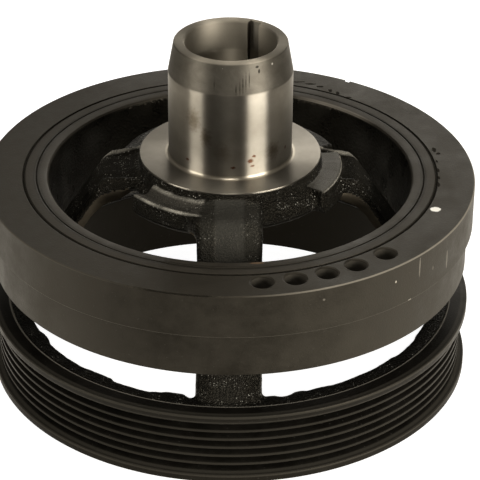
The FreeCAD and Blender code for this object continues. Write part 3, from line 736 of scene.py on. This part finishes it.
RUBBER_INSIDE = 73.9
RUBBER_OUTSIDE = 79.2
rubber = turn_piece("rubber_band", [
    (RUBBER_INSIDE, 46.4), (RUBBER_OUTSIDE, 46.4), (RUBBER_OUTSIDE, 79.0), (79.0, 79.35), (78.7, 79.55),
    (78.2, RING_TOP), (74.9, RING_TOP), (74.4, 79.55), (74.1, 79.35), (RUBBER_INSIDE, 79.0)], 256)
bpy.ops.object.shade_smooth_by_angle(angle=math.radians(50))
moulded_rubber, tree, shader, place, colour = paint_turned("moulded_rubber", (0.013, 0.0115, 0.0095), 0.55)
from_axis = distance_from_axis(tree, add_node(tree, "SeparateXYZ", place))
# Painted shade on the rubber beside its joint with the rim
colour = mix_colours(tree, map_range(tree, from_axis, 0.0751, 0.0756, 0.75, 0.0), colour, PAINTED_JOINT_SHADE)

# Its joints at both edges are dark, partly dirt and partly painted shade in the narrow gaps
joints = calculate(tree, "MAXIMUM", map_range(tree, from_axis, 0.0782, 0.0785),
                   map_range(tree, from_axis, 0.0742, 0.0744, 0.8, 0.0))
colour = add_dirt_and_shade(tree, shader, place, joints, colour)
tree.links.new(colour, shader.inputs["Base Color"])
rubber.data.materials.append(moulded_rubber)
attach(rubber, "root")
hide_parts("rubber_ring")

# Inertia ring: the heavy outer iron ring, turned all over and painted satin black
# It has two bands outside, blind balance holes drilled in its top, and a timing notch in its edge.

RING_RADIUS = 93.6
LOWER_BAND = 91.6
inertia = turn_piece("outer_ring", [
    (RUBBER_OUTSIDE, RING_FOOT), (91.2, RING_FOOT), (LOWER_BAND, 46.0), (LOWER_BAND, 61.7), (93.45, 62.6),
    (RING_RADIUS, 62.8), (RING_RADIUS, 79.2), (93.2, RING_TOP), (79.5, RING_TOP),
    (RUBBER_OUTSIDE, 79.2)], 320)

# Five balance holes are drilled on one circle, each with a point at its bottom and a broken edge on top
HOLE_CIRCLE = 0.0843
HOLE_RADIUS = 0.004
for angle in (-82.2, -74.05, -65.9, -57.75, -48.45):
    x, y = HOLE_CIRCLE * math.cos(math.radians(angle)), HOLE_CIRCLE * math.sin(math.radians(angle))
    bpy.ops.object.select_all(action="DESELECT")
    bpy.ops.mesh.primitive_cone_add(vertices=48, radius1=0.0, radius2=HOLE_RADIUS, depth=0.0024,
                                    location=(x, y, 0.0724))
    drill = bpy.context.object
    bpy.ops.object.transform_apply(location=True)
    pick(drill, lambda dx, dy, dz: dz > 73.0)
    bpy.ops.mesh.extrude_region_move(TRANSFORM_OT_translate={"value": (0, 0, 0.0057)})
    bpy.ops.mesh.extrude_region_move(TRANSFORM_OT_translate={"value": (0, 0, 0.0006)})
    bpy.ops.transform.resize(value=(1.3, 1.3, 1), center_override=(x, y, 0.08))
    bpy.ops.object.mode_set(mode="OBJECT")
    cut_away(inertia, drill)

# The timing notch is a slot across the top of the outer edge
cut_slot(inertia, (3.2, 2.5, 20), RING_RADIUS, 80.6, 58.6)
bpy.ops.object.shade_smooth_by_angle(angle=math.radians(20))

# Crumbs of dirt lie beside the joint with the rubber, at the back and at the right
satin_ring, tree, shader, place, colour = paint_turned("satin_ring", (0.0080, 0.0070, 0.0055), 0.52, 0.29)
crumbs = spot_mask(tree, place, [
    ((40.9, 69.9, 79.6), (0.9, 1.6, 1)), ((43.9, 67.6, 79.6), (0.8, 1.6, 1)),
    ((36.9, 73.6, 79.6), (1.6, 1.0, 1)), ((33.0, 76.0, 79.6), (2.4, 0.7, 1)),
    ((28.0, 77.9, 79.6), (3.0, 0.6, 1)), ((48.0, 63.6, 79.6), (1.6, 0.8, 1)),
    ((79.6, 17.6, 79.6), (0.8, 2.0, 1)), ((80.9, 14.4, 79.6), (1.0, 1.0, 1)),
    ((79.9, 8.0, 79.6), (0.5, 1.0, 1)), ((79.8, 0.6, 79.6), (0.6, 1.8, 1)),
    ((79.6, -5.6, 79.6), (0.5, 1.2, 1)), ((78.9, -11.0, 79.6), (0.7, 2.0, 1))], 1.3)
colour = add_dirt_and_shade(tree, shader, place, crumbs, colour, sunk=12.0)

# Long scratches and two bright nicks in the outer wall
colour = add_spots(tree, place, (0.085, 0.078, 0.066), [
    ((68.4, -63.9, 74.0), (0.4, 0.4, 4.6)), ((79.6, -49.3, 69.2), (0.5, 0.5, 4.2)),
    ((73.8, -57.6, 70.4), (0.3, 0.3, 1.0)), ((33.1, -87.5, 74.9), (0.5, 0.5, 0.5))], 0.9, colour)
colour = add_spots(tree, place, (0.30, 0.28, 0.24), [
    ((65.0, -67.4, 62.6), (1.0, 0.9, 0.6)), ((59.3, -72.4, 73.3), (0.4, 0.4, 0.5))], 0.9, colour)

# The joint with the rubber is dark, partly dirt and partly painted shade, and the outer edge is darker left
# of the middle
parts = add_node(tree, "SeparateXYZ", place)
from_axis = distance_from_axis(tree, parts)
on_top = map_range(tree, parts.outputs["Z"], 0.0790, 0.0792)
on_edge = multiply(tree, map_range(tree, from_axis, 0.0931, 0.0933), on_top)
joint = multiply(tree, map_range(tree, from_axis, 0.0794, 0.0796, 1.0, 0.0), on_top)
left_of_middle = multiply(tree, map_range(tree, parts.outputs["X"], -0.036, -0.028),
                          map_range(tree, parts.outputs["X"], -0.008, 0.0, 1.0, 0.0))
dark_joint_and_edge = calculate(tree, "MAXIMUM", joint, multiply(tree, on_edge, left_of_middle))
colour = add_dirt_and_shade(tree, shader, place, dark_joint_and_edge, colour)

# The drilled holes are a dull grey. Pale lines along the outer edge to the sides and along the step are
# painted highlights.
drilled = multiply(tree, map_range(tree, from_axis, 0.0797, 0.0799),
                   map_range(tree, from_axis, 0.0888, 0.0890, 1.0, 0.0))
drilled = multiply(tree, drilled, map_range(tree, parts.outputs["Z"], 0.0788, 0.0792, 1.0, 0.0))
colour = mix_colours(tree, drilled, colour, (0.032, 0.029, 0.024))
to_sides = calculate(tree, "MAXIMUM", map_range(tree, parts.outputs["X"], 0.004, 0.034),
                     map_range(tree, parts.outputs["X"], -0.075, -0.035, 0.35, 0.0))
colour = mix_colours(tree, multiply(tree, on_edge, to_sides), colour, (0.12, 0.11, 0.092))
on_step = multiply(tree, between(tree, parts.outputs["Z"], 0.0618, 0.0627, 0.0003), 0.8)
colour = mix_colours(tree, on_step, colour, (0.055, 0.05, 0.041))

# A dab of white paint on the top
colour = add_spots(tree, place, (0.85, 0.84, 0.80), [((76.4, -30.2, 79.6), (2.1, 1.9, 1.5))], 0.7, colour)
tree.links.new(colour, shader.inputs["Base Color"])
inertia.data.materials.append(satin_ring)
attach(inertia, "root")
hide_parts("inertia_ring")

# Pulley band: the outside of the casting's foot, turned with six V grooves between two flanges
# The belt runs in the grooves. Wall, grooves and flanges are painted black.

FIRST_GROOVE = 5.08
GROOVE_PITCH = 3.56
grooves = []
for number in range(6):
    middle = FIRST_GROOVE + GROOVE_PITCH * number
    grooves += [(91.0, middle - 1.355), (90.9, middle - 1.30), (87.95, middle - 0.26), (87.9, middle),
                (87.95, middle + 0.26), (90.9, middle + 1.30), (91.0, middle + 1.355)]
FLANGE = 93.3
DRUM = 82.8
BAND_TOP = 28.8
band = turn_piece("pulley_band", [
    (DRUM, 0.0), (92.7, 0.0), (FLANGE, 0.6), (FLANGE, 2.9), (93.2, 3.1)] + grooves + [
    (93.2, 26.1), (FLANGE, 26.3), (FLANGE, 28.5), (93.1, BAND_TOP), (86.5, BAND_TOP), (85.9, 28.3),
    (82.95, 28.1), (DRUM, 27.9), (DRUM, 14.0)], 320)
bpy.ops.object.shade_smooth_by_angle(angle=math.radians(30))

# Paler crests between the grooves and paler edges of the flanges are painted highlights
satin_pulley, tree, shader, place, colour = paint_turned("satin_pulley", (0.0028, 0.0025, 0.0020), 0.38, 0.07)
parts = add_node(tree, "SeparateXYZ", place)
from_axis = distance_from_axis(tree, parts)
crest_and_edge_highlight = multiply(tree, map_range(tree, from_axis, 0.0906, 0.0911, 0.0, 0.8),
                  map_range(tree, from_axis, 0.0918, 0.0925, 1.0, 0.2))
on_flange = map_range(tree, from_axis, 0.0922, 0.0928)
for low, high in ((0.0280, 0.0290), (0.0259, 0.0265), (0.0026, 0.0032)):
    edge = multiply(tree, on_flange, between(tree, parts.outputs["Z"], low, high, 0.0002))
    crest_and_edge_highlight = calculate(tree, "MAXIMUM", crest_and_edge_highlight, edge)
colour = mix_colours(tree, crest_and_edge_highlight, colour, (0.024, 0.022, 0.018))

# The turned band ends inwards in an edge with a painted highlight
inner_edge = multiply(tree, map_range(tree, from_axis, 0.0866, 0.0870, 1.0, 0.0),
                      map_range(tree, parts.outputs["Z"], 0.0282, 0.0284))
colour = mix_colours(tree, inner_edge, colour, (0.16, 0.15, 0.13))
tree.links.new(colour, shader.inputs["Base Color"])
band.data.materials.append(satin_pulley)
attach(band, "root")
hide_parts("hub_casting")

# Stage: a white floor that keeps the part's shadow, a faint warm surround, soft lamps and the camera
# The floor is white to the camera, bright and a little warm in reflections, and faint as a light.

bpy.ops.object.select_all(action="DESELECT")
bpy.ops.mesh.primitive_plane_add(size=1.0, location=(0, 0.725, -0.0002))
floor = bpy.context.object
floor.name = "floor"
bpy.ops.transform.resize(value=(2.4, 1.7, 1))
bpy.ops.object.transform_apply(location=False, scale=True)
paper, tree, shader, place = new_material("white_paper", (0.45, 0.45, 0.45), 0.9, specular=0.1)
seen = tree.nodes.new("ShaderNodeLightPath")
seen_direct = calculate(tree, "MAXIMUM", seen.outputs["Is Camera Ray"], seen.outputs["Is Glossy Ray"])
seen_direct = calculate(tree, "MAXIMUM", seen_direct, seen.outputs["Is Transmission Ray"])
tree.links.new(mix_colours(tree, seen.outputs["Is Camera Ray"], (1.0, 0.92, 0.78), (1, 1, 1)),
               shader.inputs["Emission Color"])
tree.links.new(map_range(tree, seen_direct, 0.0, 1.0, 0.05, 0.94), shader.inputs["Emission Strength"])
floor.data.materials.append(paper)

world = bpy.data.worlds.new("warm_surround")
bpy.context.scene.world = world
world.use_nodes = True
tree = world.node_tree
background = tree.nodes["Background"]
background.inputs["Color"].default_value = (1.0, 0.94, 0.84, 1)
background.inputs["Strength"].default_value = 0.18

for name, spot, across, up, power in (
        ("right_softbox", (0.84, -0.75, 0.30), 0.70, 0.50, 24.0),
        ("left_softbox", (-1.0, -0.53, 0.28), 0.50, 0.45, 8.5),
        ("rear_softbox", (0.19, 1.06, 0.47), 0.60, 0.50, 2.4),
        ("front_softbox", (0.0, -0.54, 1.09), 0.30, 0.20, 2.8),
        ("top_softbox", (-0.10, 0.28, 1.19), 0.60, 0.60, 3.0)):
    lamp = bpy.data.lights.new(name, "AREA")
    lamp.shape = "RECTANGLE"
    lamp.size, lamp.size_y, lamp.energy = across, up, power
    lamp.color = (1.0, 0.95, 0.86)
    holder = bpy.data.objects.new(name, lamp)
    bpy.context.scene.collection.objects.link(holder)
    holder.location = spot
    holder.rotation_euler = (Vector((0, 0, 0.08)) - Vector(spot)).to_track_quat("-Z", "Y").to_euler()

scene = bpy.context.scene
scene.view_settings.view_transform = "Standard"
lens = bpy.data.cameras.new("camera")
camera = bpy.data.objects.new("camera", lens)
scene.collection.objects.link(camera)
scene.camera = camera
lens.sensor_width = 36
lens.lens = 165.24
lens.shift_x, lens.shift_y = 0.0212, -0.0528
lens.clip_end = 20
camera.location = (0, -0.7463, 0.4762)
camera.rotation_euler = (Matrix.Rotation(math.radians(60.85), 3, "X")
                         @ Matrix.Rotation(math.radians(0.33), 3, "Z")).to_euler()
